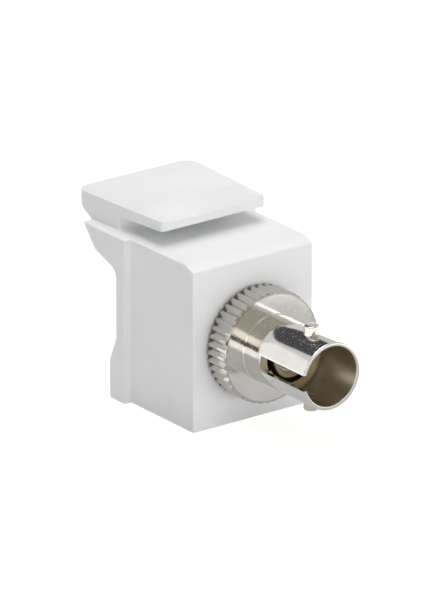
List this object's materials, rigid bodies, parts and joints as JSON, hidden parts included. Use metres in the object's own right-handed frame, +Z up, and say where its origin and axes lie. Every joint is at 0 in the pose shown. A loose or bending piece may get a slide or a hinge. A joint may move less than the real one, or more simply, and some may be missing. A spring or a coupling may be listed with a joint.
{
  "type": "st fibre adapter",
  "caption": "Snap-in module for a wall plate: white housing with a sprung latch plate, carrying a knurled, nickel-plated bayonet feed-through adapter for optical fibre plugs.",
  "frame": {"origin": "on the optical axis in the plane of the housing's front face, at the middle of the alignment sleeve where the two ferrule tips meet", "axes": "-Y along the front port towards its plug, +Y to the rear port, +Z up to the latch, +X across the housing"},
  "size_m": [0.016, 0.032, 0.0195],
  "materials": {
    "white_plastic": "satin white moulded plastic",
    "nickel_plate": "polished nickel plate over turned brass",
    "ceramic": "ground white ceramic"
  },
  "bodies": {
    "module": {"housing": "white_plastic", "adapter_body": "nickel_plate", "front_upper_lug": "nickel_plate", "front_lower_lug": "nickel_plate", "front_sleeve_holder": "nickel_plate", "alignment_sleeve": "ceramic", "rear_sleeve_holder": "nickel_plate", "rear_barrel": "nickel_plate", "rear_upper_lug": "nickel_plate", "rear_lower_lug": "nickel_plate", "panel_nut": "nickel_plate"},
    "latch": {"latch": "white_plastic"}
  },
  "joints": [
    {"name": "latch_press", "type": "hinge", "parent": "module", "child": "latch", "pos_m": [0, 0.012, 0.0102], "axis": [1, 0, 0], "range_deg": [0, 10], "stiffness_Nm_per_rad": 0.6}
  ]
}
